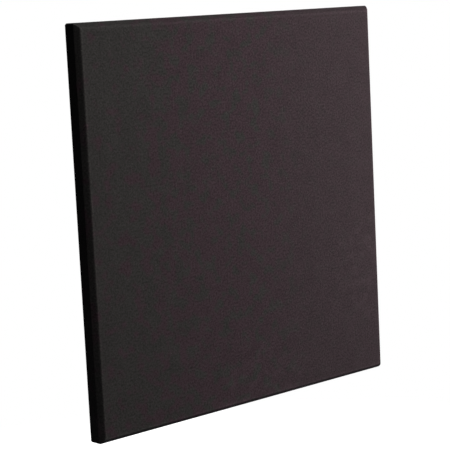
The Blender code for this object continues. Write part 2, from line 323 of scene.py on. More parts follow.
def edge_section(sunk, end, run_steps):
    """Points (inset, depth) from the edge of the face to the end point, for a layer sunk that deep.

    Round each corner: centre + (radius - sunk) x direction, as the direction turns evenly from one
    run's outward direction to the next's. The centre lies radius / cosine(half the turn) inside the
    corner, so the arc touches both runs.
    """
    arcs = []
    for corner, radius, first, last in zip(CORNERS, RADII, OUTWARD, OUTWARD[1:]):
        reach = radius / np.cos((first - last) / 2)
        centre = corner - reach * direction((first + last) / 2)
        arcs.append(centre + (radius - sunk) * direction(np.linspace(first, last, TURN_STEPS + 1)))
    arcs = arcs[: len(run_steps)]
    section = [arcs[0]]
    for start, finish, steps in zip(arcs, [*arcs[1:], np.array([end])], run_steps):
        section.append(np.linspace(start[-1], finish[0], steps + 1)[1:-1])
        section.append(finish)
    return np.concatenate(section)


cloth_section = edge_section(0, (RETURN_WIDTH, PANEL_DEPTH), CLOTH_RUN_STEPS)
print("cloth section:", len(cloth_section), "points")

# %% [markdown]
# That section is carried round the panel's outline, a rectangle with small round corners that tighten
# to a mitre further in. Inside the outline the face is a plain grid. Grid and band share their border
# points, so the cloth is one sheet without a seam.
#
# Complex numbers keep the outline short: a quarter of it is written once, and multiplying by i turns
# it by a right angle.

# %% The outline, and the sheet that follows it
FACE_STEPS = 120
CORNER_STEPS = 8


def outline_pattern(steps):
    """Shares and directions of the points round the panel, from the right side's foot, anticlockwise.

    A point is share x (half size - radius) + direction x radius, taken apart into x and z. Along a
    side the share runs from corner to corner. Round a corner it rests while the direction turns.
    """
    along = 1 + 1j * np.linspace(-1, 1, steps + 1)
    turn = np.exp(0.5j * math.pi * np.arange(1, CORNER_STEPS) / CORNER_STEPS)
    share = np.concatenate([along, np.full(turn.size, 1 + 1j)])
    out = np.concatenate([np.ones(along.size), turn])
    quarter = 1j ** np.arange(4)[:, None]
    return (quarter * share).ravel(), (quarter * out).ravel()


def outline_rings(section, steps):
    """x and z of the outline at each point of a section, as arrays of (section, outline)."""
    share, out = outline_pattern(steps)
    inset = section[:, :1]
    radius = np.maximum(CORNER_RADIUS - inset, MITRE_RADIUS)
    x = share.real * (HALF_WIDTH - inset - radius) + out.real * radius
    z = share.imag * (HALF_HEIGHT - inset - radius) + out.imag * radius
    return x, z


def face_border(steps):
    """The face grid's own border points, once for each point of the outline. A corner's repeat."""
    along = np.arange(steps + 1)
    side = steps + 1
    runs = [steps * side + along, along[::-1] * side + steps, along[::-1], along * side]
    return np.concatenate([np.append(run, np.full(CORNER_STEPS - 1, run[-1])) for run in runs])


print("outline:", outline_pattern(FACE_STEPS)[0].size, "points")

# %% [markdown]
# A woven pattern has to run straight over the edges, as real threads do. Each corner of each face
# therefore gets a place on the flat cloth, before it was wrapped, in metres: how far from the middle
# across, and how far up. Along the band one of the two is the length that the section has run.

# %% Lay the sheet out


def run_length(section):
    """Distance along a section from its first point: the running sum of its steps."""
    steps = np.linalg.norm(np.diff(section, axis=0), axis=1)
    return np.concatenate([[0], np.cumsum(steps)])


def flat_side(section):
    """Width of the flat sheet: half the face and then the length of the section, both ways."""
    return 2 * (HALF_WIDTH - section[0, 0] + run_length(section)[-1])


def grid_quads(rows, columns, turned=False):
    """Faces of a grid whose points are numbered row by row. Turned faces look the other way."""
    number = np.arange(rows * columns).reshape(rows, columns)
    quads = np.stack([number[:-1, :-1], number[1:, :-1], number[1:, 1:], number[:-1, 1:]], axis=-1)
    quads = quads.reshape(-1, 4)
    return quads[:, ::-1] if turned else quads


def ring_quads(rings):
    """Faces from each closed ring to the next one. The last two axes of the numbers are ring and point."""
    after = np.roll(rings, -1, axis=-1)
    return np.stack([rings[..., :-1, :], rings[..., 1:, :], after[..., 1:, :], after[..., :-1, :]], axis=-1)


def wrapped_sheet(section, steps):
    """Points, faces and flat places of a sheet: a grid over the face, and the section carried round it."""
    half_x = HALF_WIDTH - section[0, 0]
    half_z = HALF_HEIGHT - section[0, 0]
    across, up = np.meshgrid(
        np.linspace(-half_x, half_x, steps + 1), np.linspace(-half_z, half_z, steps + 1), indexing="ij"
    )
    face_points = np.stack([across, np.full(across.shape, FRONT + section[0, 1]), up], axis=-1).reshape(-1, 3)
    face_quads = grid_quads(steps + 1, steps + 1)
    face_flat = face_points[:, [0, 2]][face_quads]

    x, z = outline_rings(section[1:], steps)
    y = np.broadcast_to(FRONT + section[1:, 1:], x.shape)
    band_points = np.stack([x, y, z], axis=-1)
    rings = np.vstack([face_border(steps), len(face_points) + np.arange(x.size).reshape(x.shape)])
    quads = ring_quads(rings)

    points = np.concatenate([face_points, band_points.reshape(-1, 3)])
    count = rings.shape[1]
    quarter = (np.arange(count) + CORNER_STEPS // 2) // (steps + CORNER_STEPS) % 4
    turn = 1j ** quarter[None, :, None]
    place = points[quads][..., 0] + 1j * points[quads][..., 2]
    length = run_length(section)
    out = np.stack([length[:-1], length[1:], length[1:], length[:-1]], axis=-1)[:, None, :]
    edge = np.where(quarter % 2 == 0, half_x, half_z)[None, :, None]
    flat = ((edge + out) + 1j * (place / turn).imag) * turn
    band_flat = np.stack([flat.real, flat.imag], axis=-1)

    pinched = rings[0] == np.roll(rings[0], -1)
    whole = np.ones(quads.shape[:2], bool)
    whole[0] = ~pinched
    faces = [*face_quads.tolist(), *quads[whole].tolist(), *quads[0][pinched][:, :3].tolist()]
    flat_places = np.concatenate([
        face_flat.reshape(-1, 2), band_flat[whole].reshape(-1, 2), band_flat[0][pinched][:, :3].reshape(-1, 2)
    ])
    return points, faces, flat_places


print(f"the cloth lies {flat_side(cloth_section):.3f} m square before it is wrapped")

# %% [markdown]
# Every new piece reaches the scene in the same way: whole arrays of points and faces go into a mesh. A
# sheet is modelled as its outer side alone and gets its thickness from a Solidify modifier, so that its
# section stays one line.

# %% Build a piece


def lying_flat(points, faces):
    """Flat places of a piece that already lies flat: x and z at each corner of each face."""
    return points[:, [0, 2]][[corner for face in faces for corner in face]]


def make_piece(name, material, points, faces, flat_places=None):
    """A mesh object from whole arrays, shaded smooth, with its flat places as a UV map."""
    mesh = bpy.data.meshes.new(name)
    mesh.from_pydata(points, [], faces)
    mesh.shade_smooth()
    if flat_places is not None:
        layer = mesh.uv_layers.new(name="flat")
        layer.data.foreach_set("uv", flat_places.astype(np.float32).ravel())
    mesh.materials.append(material)
    piece = bpy.data.objects.new(name, mesh)
    bpy.context.scene.collection.objects.link(piece)
    return piece


def carry(piece, name, values):
    """Let each point of the mesh carry a value, which a material reads by its name."""
    piece.data.attributes.new(name, "FLOAT", "POINT").data.foreach_set("value", values.astype(np.float32))


def give_thickness(piece, thickness):
    """Solidify the sheet inwards from its outer side."""
    wall = piece.modifiers.new("thickness", "SOLIDIFY")
    wall.thickness = thickness
    wall.offset = -1


def sharpen_rims(piece):
    """Keep the cut edges crisp: an edge with one face only is marked sharp. Returns how many there are."""
    mesh = piece.data
    edges_of_corners = np.zeros(len(mesh.loops), np.int32)
    mesh.loops.foreach_get("edge_index", edges_of_corners)
    at_rim = np.bincount(edges_of_corners, minlength=len(mesh.edges)) == 1
    mesh.attributes.new("sharp_edge", "BOOLEAN", "EDGE").data.foreach_set("value", at_rim)
    return int(at_rim.sum())


print("face grid:", FACE_STEPS, "steps a side")

# %% [markdown]
# The finishes need a few more tools. Noise is the main one: its size is given in metres, so that each
# grain, slub and fibre can be set to the size it has on the real thing, and it can be drawn out along
# an axis, as a fibre is.

# %% Tools for the finishes
NOISE_LOW = 0.3
NOISE_HIGH = 0.7


def flat_place(tree):
    """The flat place of a point on a cloth or tissue, in metres."""
    return add_node(tree, "UVMap", uv_map="flat").outputs[0]


def carried(tree, name):
    """A value that the points of the mesh carry under that name."""
    return add_node(tree, "Attribute", attribute_name=name).outputs["Fac"]


def noise(tree, place, size, detail=2.0, stretch=(1, 1, 1)):
    """Smooth noise from 0 to 1 whose blotches are about the given size, stretched along each axis."""
    scale = tuple(1 / (size * s) for s in stretch)
    mapped = add_node(tree, "Mapping", {"Vector": place, "Scale": scale})
    return add_node(
        tree, "TexNoise", {"Vector": mapped.outputs[0], "Scale": 1.0, "Detail": detail, "Roughness": 0.6}
    ).outputs["Fac"]


def spread(tree, value, low, high):
    """Carry the range in which noise mostly lies onto low to high, and hold still outside."""
    ends = {1: NOISE_LOW, 2: NOISE_HIGH, 3: low, 4: high}
    return add_node(tree, "MapRange", {"Value": value, **ends}).outputs[0]


def mottled(tree, place, size, detail, low, high):
    """Soft blotches of the given size and detail, from low to high."""
    return spread(tree, noise(tree, place, size, detail), low, high)


def flecks(tree, place, size, start, end, high=1.0):
    """High in flecks, where noise of the given size passes the end, and 0 where it is under the start."""
    return ramp(tree, noise(tree, place, size, 1.0), start, end, 0.0, high)


def product(tree, first, *others):
    """All the values multiplied together."""
    for other in others:
        first = math_node(tree, "MULTIPLY", first, other)
    return first


def blend_colours(tree, share, first, second):
    """The first colour at share 0 and the second at share 1."""
    return add_node(tree, "Mix", {0: share, 6: first, 7: second}, data_type="RGBA").outputs[2]


def toned(tree, colour, tone):
    """The colour made lighter or darker by a factor."""
    return add_node(tree, "VectorMath", {0: colour, "Scale": tone}, operation="SCALE").outputs[0]


def finish_material(tree, height, bump_strength, bump_depth, **sockets):
    """Join a Principled shader, bumped by the height, to the output. Words in names stand for sockets."""
    bump = add_node(tree, "Bump", {"Strength": bump_strength, "Distance": bump_depth, "Height": height})
    named = {name.replace("_", " ").title().replace("Ior", "IOR"): value for name, value in sockets.items()}
    shader = add_node(tree, "BsdfPrincipled", {**named, "Normal": bump.outputs[0]})
    add_node(tree, "OutputMaterial", {"Surface": shader.outputs[0]})


print(f"noise is spread from {NOISE_LOW} to {NOISE_HIGH}")

# %% [markdown]
# The weave comes first. In a plain weave every yarn goes over one neighbour and under the next. An image
# of cloth could be tiled over the panel, but tiles show on a wide flat face, so two sine waves make the
# crossings instead. Each set of yarns gets a height that bulges across the yarn and rises and sinks
# along it, and whichever stands higher is the yarn that shows. A slow noise lets the yarns wander a
# little, since no real yarn runs dead straight.

# %% Plain weave
YARN_PITCH = 0.0009
YARN_WANDER = 0.0003
WANDER_SIZE = 0.006
MEAN_HEIGHT = 0.98
# Painted shade: the bottom of a groove in the weave is painted this dark, and a yarn at its mean height keeps
# its full colour.
GROOVE_PAINTED_SHADE = 0.45


def wandering(tree, place, size, reach):
    """The place moved about by noise of the given size, by up to half the reach each way."""
    mapped = add_node(tree, "Mapping", {"Vector": place, "Scale": (1 / size,) * 3})
    swirls = add_node(tree, "TexNoise", {"Vector": mapped.outputs[0], "Scale": 1.0, "Detail": 1.0})
    from_middle = {0: swirls.outputs["Color"], 1: (0.5, 0.5, 0.5)}
    centred = add_node(tree, "VectorMath", from_middle, operation="SUBTRACT").outputs[0]
    moved = {0: toned(tree, centred, reach), 1: place}
    return add_node(tree, "VectorMath", moved, operation="ADD").outputs[0]


def plain_weave(tree, place):
    """The height of the yarn on top, and 1 where that yarn runs up the cloth.

    With a = sine(pi u / pitch) and b = sine(pi v / pitch), a yarn that runs up stands |a| + sign(a) b / 2
    high, and one that runs across |b| - sign(b) a / 2.
    """
    mapped = add_node(tree, "Mapping", {"Vector": place, "Scale": (math.pi / YARN_PITCH,) * 3})
    parts = add_node(tree, "SeparateXYZ", {0: mapped.outputs[0]})
    a, b = (math_node(tree, "SINE", parts.outputs[axis]) for axis in (0, 1))
    heights = []
    for own, other, sign in ((a, b, 0.5), (b, a, -0.5)):
        swing = product(tree, math_node(tree, "SIGN", own), other)
        heights.append(math_node(tree, "MULTIPLY_ADD", swing, sign, math_node(tree, "ABSOLUTE", own)))
    return math_node(tree, "MAXIMUM", *heights), math_node(tree, "GREATER_THAN", *heights)


print(f"weave: {0.01 / YARN_PITCH:.0f} yarns to the centimetre")

# %% [markdown]
# The cloth's colour. The yarn is heather, spun from neutral and slightly purple fibres, so the panel
# reads as a charcoal that turns warm in the light. The two lie in patches at the left and in the middle,
# and are spun evenly to the right. Painting such a blend by hand would fix it to one cloth, so ramps
# over the flat cloth lead it: each runs between two places, in metres from the middle, and two values.

# %% Heather yarn
PURPLE_FIBRE = (0.0470, 0.0314, 0.0364, 1.0)
NEUTRAL_FIBRE = (0.0379, 0.0360, 0.0343, 1.0)
PATCH_SIZE = 0.021
PATCH_EDGE = (0.38, 0.60)
LEAD_ACROSS = (-0.27, -0.07, -0.11, 0.06)
CORNER_ACROSS = (-0.24, -0.08, 1.0, 0.0)
CORNER_UP = (0.08, 0.26)
CORNER_LEAD = -0.07
EVEN_ACROSS = (0.02, 0.16, 0.0, 0.85)
EVEN_SHARE = 0.75


def purple_share(tree, place):
    """0 in patches of neutral fibre and 1 in patches of purple, with fewer purple ones at the left."""
    parts = add_node(tree, "SeparateXYZ", {0: place})
    across, up = parts.outputs[0], parts.outputs[1]
    corner = product(tree, ramp(tree, across, *CORNER_ACROSS), ramp(tree, up, *CORNER_UP))
    lead = math_node(tree, "MULTIPLY_ADD", corner, CORNER_LEAD, ramp(tree, across, *LEAD_ACROSS))
    patches = ramp(tree, math_node(tree, "ADD", noise(tree, place, PATCH_SIZE, 1.0), lead), *PATCH_EDGE)
    even = ramp(tree, across, *EVEN_ACROSS)
    return add_node(tree, "Mix", {0: even, 2: patches, 3: EVEN_SHARE}).outputs[0]


print(f"heather in patches of {1000 * PATCH_SIZE:.0f} mm")

# %% [markdown]
# The cloth is painted a little lighter at the crease of the bevel and along the mitres at the corners:
# in part wear, and in part a painted highlight where those edges catch the light. The sheet carries its
# distance from those as attributes. A distance grows evenly, so it stays exact between the points of the
# mesh, however narrow the lightened line is. Faint lighter smudges near the right edge and at the foot
# are painted light.

# %% Wear, painted highlight and painted light
# Wear and painted highlight: the cloth is painted lighter within these distances of a crease or a mitre.
CREASE_LIGHTENED_REACH = (0.0004, 0.0026)
CREASE_WEAR_AND_HIGHLIGHT = 0.22
MITRE_LIGHTENED_REACH = (0.0003, 0.0020)
MITRE_WEAR_AND_HIGHLIGHT = 0.90
BEYOND_LIGHTENED_REACH = 0.01
WEAR_AND_HIGHLIGHT_PATCHES = (0.014, 2.0, 0.6, 1.4)
# Painted light: faint lighter smudges round these spots, near the right edge and at the foot.
PAINTED_LIGHT_SPOTS = ((0.31, -0.12), (0.02, -0.32))
PAINTED_LIGHT_REACH = (0.05, 0.15)
SMUDGES = (0.018, 0.42, 0.74)
SMUDGE_LIGHTER = 0.25


def wear_and_highlight_tone(tree, place):
    """1 where the cloth lies flat, and more along the creases and mitres in patches: wear and painted
    highlight.
    """
    crease = ramp(tree, carried(tree, "from_crease"), *CREASE_LIGHTENED_REACH, CREASE_WEAR_AND_HIGHLIGHT, 0.0)
    mitre = ramp(tree, carried(tree, "from_mitre"), *MITRE_LIGHTENED_REACH, MITRE_WEAR_AND_HIGHLIGHT, 0.0)
    patchy = mottled(tree, place, *WEAR_AND_HIGHLIGHT_PATCHES)
    return math_node(tree, "MULTIPLY_ADD", patchy, math_node(tree, "MAXIMUM", crease, mitre), 1.0)


def painted_light_tone(tree, place):
    """1 elsewhere, and more in faint smudges round the two spots: painted light near the right edge and foot.
    """
    near = []
    for spot in PAINTED_LIGHT_SPOTS:
        away = add_node(tree, "VectorMath", {0: place, 1: (*spot, 0)}, operation="DISTANCE").outputs["Value"]
        near.append(ramp(tree, away, *PAINTED_LIGHT_REACH, 1.0, 0.0))
    smudges = flecks(tree, place, *SMUDGES, SMUDGE_LIGHTER)
    return math_node(tree, "MULTIPLY_ADD", math_node(tree, "MAXIMUM", *near), smudges, 1.0)


# The lightening near a crease is wear and painted highlight, and the smudges at the spots are painted light.
print("rubbed within", CREASE_LIGHTENED_REACH[1], "m of a crease, dusty at", len(PAINTED_LIGHT_SPOTS), "spots")

# %% [markdown]
# All of it together is the cloth's finish, painted shade in the grooves of the weave included. Noise drawn
# out along the upper yarn gives its fibres and slubs, and coarser noise the grain that is seen from a few
# steps away. A few specks of pale lint cling to it. A mottle is given by its size, its detail and its two
# tones, and a streak by its width, by how many times longer it is, and by its two tones.

# %% Cloth material
LINT_COLOUR = (0.130, 0.120, 0.115, 1.0)
LINT = (0.0016, 0.71, 0.78, 0.8)
GRAIN = (0.0030, 1.0, 0.73, 1.27)
CLOUDS = (0.03, 3.0, 0.93, 1.07)
MATTNESS = (0.0003, 2.0, 0.86, 0.98)
YARN_FIBRES = (0.00012, 6, 0.78, 1.22)
YARN_SLUBS = (YARN_PITCH, 16, 0.86, 1.14)
WEAVE_BUMP = 0.00012


def make_cloth_material():
    material, tree = empty_material("charcoal_cloth")
    place = flat_place(tree)
    height, runs_up = plain_weave(tree, wandering(tree, place, WANDER_SIZE, YARN_WANDER))
    yarn = blend_colours(tree, purple_share(tree, place), NEUTRAL_FIBRE, PURPLE_FIBRE)
    linty = blend_colours(tree, flecks(tree, place, *LINT), yarn, LINT_COLOUR)

    def along_yarn(size, length, low, high):
        """Noise drawn out along the yarn that shows."""
        upwards = noise(tree, place, size, 2.0, (1, length, 1))
        sideways = noise(tree, place, size, 2.0, (length, 1, 1))
        shown = add_node(tree, "Mix", {0: runs_up, 2: sideways, 3: upwards}).outputs[0]
        return spread(tree, shown, low, high)

    fibre = along_yarn(*YARN_FIBRES)
    tone = product(
        tree,
        mottled(tree, place, *GRAIN),
        mottled(tree, place, *CLOUDS),
        along_yarn(*YARN_SLUBS),
        # Painted shade in the grooves of the weave.
        math_node(tree, "MULTIPLY_ADD", height, (1 - GROOVE_PAINTED_SHADE) / MEAN_HEIGHT, GROOVE_PAINTED_SHADE),
        fibre,
        # Wear and painted highlight at the creases and mitres.
        wear_and_highlight_tone(tree, place),
        # Painted light in smudges near the right edge and the foot.
        painted_light_tone(tree, place),
    )
    finish_material(
        tree, math_node(tree, "MULTIPLY_ADD", fibre, 0.5, height), 0.5, WEAVE_BUMP,
        base_color=toned(tree, linty, tone), roughness=mottled(tree, place, *MATTNESS),
        specular_ior_level=0.0, sheen_weight=0.04, sheen_roughness=0.5,
    )
    return material


cloth_material = make_cloth_material()
print("cloth material:", len(cloth_material.node_tree.nodes), "nodes")

# %% [markdown]
# The cover itself. A stretched cloth is never quite flat: it rides on the board's fibres, so the face
# gets a ripple of a few hundredths of a millimetre, made of long waves that fade out towards the
# bevel. The glued turn-over on the back lies a little less evenly, and its cut edge wanders, because
# it is cut by hand.

# %% Cloth cover
RIPPLE_HEIGHT = 0.00005
RIPPLE_WAVES = ((0.21, 0.4, 0.0), (0.13, 1.9, 1.3), (0.085, 3.1, 4.0), (0.055, 5.2, 2.2))
RIPPLE_FADE = 0.03
CUT_WANDER = 0.0003
CUT_SHORTER = 3


def ripple(x, z):
    """Sum of long sine waves, each with its length, heading and start. Longer waves are higher."""
    longest = RIPPLE_WAVES[0][0]
    total = 0
    for length, heading, start in RIPPLE_WAVES:
        along = x * math.cos(heading) + z * math.sin(heading)
        total = total + (length / longest) * np.sin(2 * math.pi * along / length + start)
    return total


def inset_from_outline(x, z):
    """How far in from the nearest side of the panel a point lies."""
    return np.minimum(HALF_WIDTH - np.abs(x), HALF_HEIGHT - np.abs(z))


def fade_from_edge(x, z, width):
    """0 at the panel's outline and 1 further in than the width, with a smooth step between."""
    share = np.clip(inset_from_outline(x, z) / width, 0, 1)
    return share**2 * (3 - 2 * share)


def make_cover(material):
    """The wrapped sheet, rippled on its face, with a cut edge that wanders by the same waves, shortened."""
    points, faces, flat_places = wrapped_sheet(cloth_section, FACE_STEPS)
    x, y, z = points.T
    on_face = y < FRONT + CLEARANCE
    y += np.where(on_face, RIPPLE_HEIGHT * fade_from_edge(x, z, RIPPLE_FADE) * ripple(x, z), 0)

    on_back = y > FRONT + PANEL_DEPTH - CLEARANCE
    inset = inset_from_outline(x, z)
    inwards = np.where(on_back, inset / RETURN_WIDTH, 0) ** 3
    side_on = (HALF_WIDTH - np.abs(x)) < (HALF_HEIGHT - np.abs(z))
    wander = CUT_WANDER * inwards * ripple(CUT_SHORTER * x, CUT_SHORTER * z)
    x += np.where(side_on, wander * np.sign(x), 0)
    z += np.where(side_on, 0, wander * np.sign(z))
    points = np.stack([x, y, z], axis=-1)

    cover = make_piece("cloth_cover", material, points, faces, flat_places)
    face_ends = cloth_section[0, 0]
    to_side = HALF_WIDTH - np.abs(x) - face_ends
    to_end = HALF_HEIGHT - np.abs(z) - face_ends
    from_mitre = np.where(on_face, np.hypot(to_side, to_end), np.abs(to_side - to_end))
    # These distances lead the wear and painted highlight; the back is kept beyond their reach.
    carry(cover, "from_crease", np.hypot(inset - face_ends, y - FRONT))
    carry(cover, "from_mitre", from_mitre + np.where(on_back, BEYOND_LIGHTENED_REACH, 0))
    rim = sharpen_rims(cover)
    give_thickness(cover, CLOTH_THICKNESS)
    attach(cover, "panel")
    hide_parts("fabric_cover")
    print("cloth cover:", len(points), "points,", len(faces), "faces,", rim, "edges in its cut rim")
    return cover


cover = make_cover(cloth_material)

# %% [markdown]
# Where two sides of the cloth turn over at a corner, there is too much of it. The spare cloth is laid
# in a flat triangle, as on a wrapped parcel: its long edge is a soft fold along the mitre, and its
# inner edge is cut. It is a small surface of its own. One parameter runs along the mitre and the other
# away from it, and the surface rises steeply out of the fold, like a quarter of a circle.

# %% Folded corners
FOLD_MARGIN = 0.0012
FOLD_ROUND = 0.0011
FOLD_ROWS = 30
FOLD_COLUMNS = 14
FOLD_START = 0.015
FOLD_UNEVEN = 0.25
FOLD_WAVES_ALONG = 9
FOLD_WAVES_AWAY = 5
FOLD_THICKNESS = CLOTH_THICKNESS * 0.9


def corner_fold(name, side, end, material):
    """Inset across = a share of the way along the mitre. Inset up = that, less a share of what is left.

    The rise is the square root of 1 - (1 - distance from the fold / its radius) squared, made a little
    uneven by two cosines.
    """
    near = EDGE_RADIUS + FOLD_MARGIN
    far = RETURN_WIDTH - FOLD_MARGIN
    along, away = np.meshgrid(
        np.linspace(FOLD_START, 1, FOLD_ROWS), np.linspace(0, 1, FOLD_COLUMNS) ** 2, indexing="ij"
    )
    across = near + (far - near) * along
    up = across - (across - near) * away
    from_mitre = (across - up) / math.sqrt(2)
    from_fold = np.clip(from_mitre / FOLD_ROUND, 0, 1)
    rise = CLOTH_THICKNESS * np.sqrt(1 - (1 - from_fold) ** 2)
    waves = np.cos(FOLD_WAVES_ALONG * along + side) * np.cos(FOLD_WAVES_AWAY * away)
    rise *= 1 - FOLD_UNEVEN + FOLD_UNEVEN * waves
    points = np.stack(
        [side * (HALF_WIDTH - across), FRONT + PANEL_DEPTH + rise, end * (HALF_HEIGHT - up)], axis=-1
    ).reshape(-1, 3)
    faces = grid_quads(FOLD_ROWS, FOLD_COLUMNS, side * end > 0).tolist()
    fold = make_piece(name, material, points, faces, lying_flat(points, faces))
    # The fold's edge along the mitre is painted lighter: wear and painted highlight.
    carry(fold, "from_crease", np.full(len(points), BEYOND_LIGHTENED_REACH))
    carry(fold, "from_mitre", from_mitre.ravel())
    give_thickness(fold, FOLD_THICKNESS)
    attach(fold, "panel")
    return fold


for side, side_name in ((-1, "left"), (1, "right")):
    for end, end_name in ((-1, "bottom"), (1, "top")):
        corner_fold(f"corner_fold_{end_name}_{side_name}", side, end, cloth_material)

# %% [markdown]
# The cloth is cut with scissors and left raw on the back, so yarns that cross the cut work loose there.
# Each loose end is a thin tube that tapers, bends to one side and droops onto the tissue. All of them
# are one array: a centre line for each, and a small ring of points round each step of each line. A
# hair system could grow them, but it would not export as plain mesh.

# %% Loose yarn ends at the cut
ENDS_PER_SIDE = 130
END_STEPS = 6
END_SIDES = 5
END_RADIUS = 0.00016
END_HIDDEN = 0.0012
END_LENGTHS = (0.0016, 0.0042)
END_BEND = 0.0006
END_TAPER = 0.35
END_SEED = 5


def even_angles(count):
    """That many angles, evenly round a full turn."""
    return np.arange(count) * 2 * math.pi / count


def loose_ends(random):
    """Centre lines as an array of (end, step, axis).

    With the share running from 0 to 1, an end runs inwards by length x share, sideways by bend x
    share squared, and from the middle of the cloth down to the tissue.
    """
    share = np.linspace(0, 1, END_STEPS)
    quarter = np.repeat(np.arange(4), ENDS_PER_SIDE)[:, None]
    edge = np.where(quarter % 2 == 0, HALF_WIDTH, HALF_HEIGHT) - RETURN_WIDTH + END_HIDDEN
    length = random.uniform(*END_LENGTHS, quarter.shape)
    along = random.uniform(-1, 1, quarter.shape) * (HALF_WIDTH - RETURN_WIDTH)
    bend = random.normal(0, END_BEND, quarter.shape)
    place = (edge - length * share + 1j * (along + bend * share**2)) * 1j**quarter
    start = FRONT + PANEL_DEPTH - CLOTH_THICKNESS / 2
    depth = start + (tissue_high.y + END_RADIUS / 2 - start) * np.broadcast_to(share, place.shape)
    return np.stack([place.real, depth, place.imag], axis=-1)


def tubes(lines, radius):
    """Points and faces of a tube round each line: centre + tapering radius x (cosine, sine), with caps."""
    ahead = np.gradient(lines, axis=1)
    ahead /= np.linalg.norm(ahead, axis=-1, keepdims=True)
    upright = np.array((0.0, 1.0, 0.0))
    beside = np.cross(ahead, upright)
    angle = even_angles(END_SIDES)
    taper = radius * np.linspace(1, END_TAPER, lines.shape[1])[None, :, None, None]
    around = np.cos(angle)[:, None] * beside[:, :, None] + np.sin(angle)[:, None] * upright
    points = (lines[:, :, None] + taper * around).reshape(-1, 3)

    number = np.arange(len(points)).reshape(*lines.shape[:2], END_SIDES)
    walls = ring_quads(number).reshape(-1, 4)
    return points, [*walls.tolist(), *number[:, 0].tolist(), *number[:, -1, ::-1].tolist()]


def make_loose_yarn(material):
    points, faces = tubes(loose_ends(np.random.default_rng(END_SEED)), END_RADIUS)
    yarn = make_piece("loose_yarn", material, points, faces, lying_flat(points, faces))
    for name in ("from_crease", "from_mitre"):
        carry(yarn, name, np.full(len(points), BEYOND_LIGHTENED_REACH))
    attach(yarn, "panel")
    return yarn


loose_yarn = make_loose_yarn(cloth_material)

# %% [markdown]
# Under the cloth lies a black tissue of glass fibres, bonded to the board so that it sheds none. Fibres
# lie in it every way, like a few straws dropped on a table. Four layers of noise drawn out into long
# streaks, each turned to its own heading, give that look without drawing a single fibre.

# %% Tissue material
TISSUE_COLOUR = (0.015, 0.015, 0.016, 1.0)
FIBRE_COLOUR = (0.034, 0.034, 0.036, 1.0)
FIBRE_SIZE = 0.00022
FIBRE_HEADINGS = (0.3, 0.95, 1.75, 2.6)
FIBRE_STRETCH = 26
STREAK_EDGE = (0.56, 0.68)
TISSUE_SWIRL = (0.005, 0.003)
TISSUE_CLOUDS = (0.02, 3.0, 0.75, 1.25)
TISSUE_BUMP = 0.0001


def fibres(tree, place, size, heading, drawn_out=FIBRE_STRETCH):
    """Streaks along one heading: noise drawn out along it, kept only where it is strong."""
    turned = add_node(tree, "Mapping", {"Vector": place, "Rotation": (0, 0, heading)}).outputs[0]
    return ramp(tree, noise(tree, turned, size, 1.0, (drawn_out, 1, drawn_out)), *STREAK_EDGE)


def make_tissue_material():
    material, tree = empty_material("black_tissue")
    place = wandering(tree, flat_place(tree), *TISSUE_SWIRL)
    streaks = fibres(tree, place, FIBRE_SIZE, FIBRE_HEADINGS[0])
    for heading in FIBRE_HEADINGS[1:]:
        streaks = math_node(tree, "MAXIMUM", streaks, fibres(tree, place, FIBRE_SIZE, heading))
    mixed = blend_colours(tree, streaks, TISSUE_COLOUR, FIBRE_COLOUR)
    finish_material(
        tree, streaks, 0.5, TISSUE_BUMP,
        base_color=toned(tree, mixed, mottled(tree, place, *TISSUE_CLOUDS)),
        roughness=spread(tree, streaks, 0.85, 0.6),
        specular_ior_level=0.2, sheen_weight=0.05, sheen_roughness=0.4,
    )
    return material


tissue_material = make_tissue_material()
print("tissue material:", len(FIBRE_HEADINGS), "layers of fibres")

# %% [markdown]
# The front tissue follows the board's face, bevels and sides, so it is the same wrapped sheet as the
# cloth, laid deeper and ended at the board's back edge.

# %% Front tissue
HIDDEN_STEPS = 24
TISSUE_RUN_STEPS = (2, 4)


def dress_tissue(tissue, node):
    """Give a tissue its thickness and body, and hide the solid of the frame that it stands for."""
    give_thickness(tissue, TISSUE_THICKNESS)
    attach(tissue, "panel")
    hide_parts(node)


tissue_end = (TISSUE_SUNK, board_high.y - FRONT - BOARD_EDGE_RADIUS)
tissue_section = edge_section(TISSUE_SUNK, tissue_end, TISSUE_RUN_STEPS)
front_tissue = make_piece("front_tissue", tissue_material, *wrapped_sheet(tissue_section, HIDDEN_STEPS))
dress_tissue(front_tissue, "front_facing")

# %% [markdown]
# The back tissue is flat, but the clips pierce it: each of their barbs leaves a slot, and each screw
# head presses a round hole. A Boolean modifier could cut them, at the price of long thin triangles.
# Here the grid itself knows of the cuts. Its lines are drawn at every edge of a slot, and the squares
# in the slots are left out. Round each screw a square of the grid is left out too, and a ring of faces
# joins the square's border to the round hole.

# %% Back tissue
BACK_STEPS = 60
SLOT_NEAR = 0.019885
SLOT_FAR = 0.021685
SLOT_HALF_HEIGHT = 0.0024
BARB_PITCH = 0.0135
BARB_HEIGHTS = BARB_PITCH * np.array((-1.5, -0.5, 0.5, 1.5))
SCREW_HEIGHTS = BARB_PITCH * np.array((-1, 1))
POCKET_RADIUS = 0.0043
POCKET_SQUARE = 0.0055
LINE_SPACING = 0.0012
HAIR = 1e-6

clip_low, clip_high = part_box("clip_top_right")
CLIP_CENTRES = np.array((-1, 1)) * (clip_low.x + clip_high.x) / 2


def lines_with_cuts(half, offsets):
    """Even lines from edge to edge, with a line at each cut beside each clip in place of near ones."""
    cuts = (CLIP_CENTRES[:, None] + offsets).ravel()
    even = np.linspace(-half, half, BACK_STEPS + 1)
    spaced = even[np.abs(even[:, None] - cuts).min(axis=1) > LINE_SPACING]
    return np.sort(np.concatenate([spaced, cuts]))


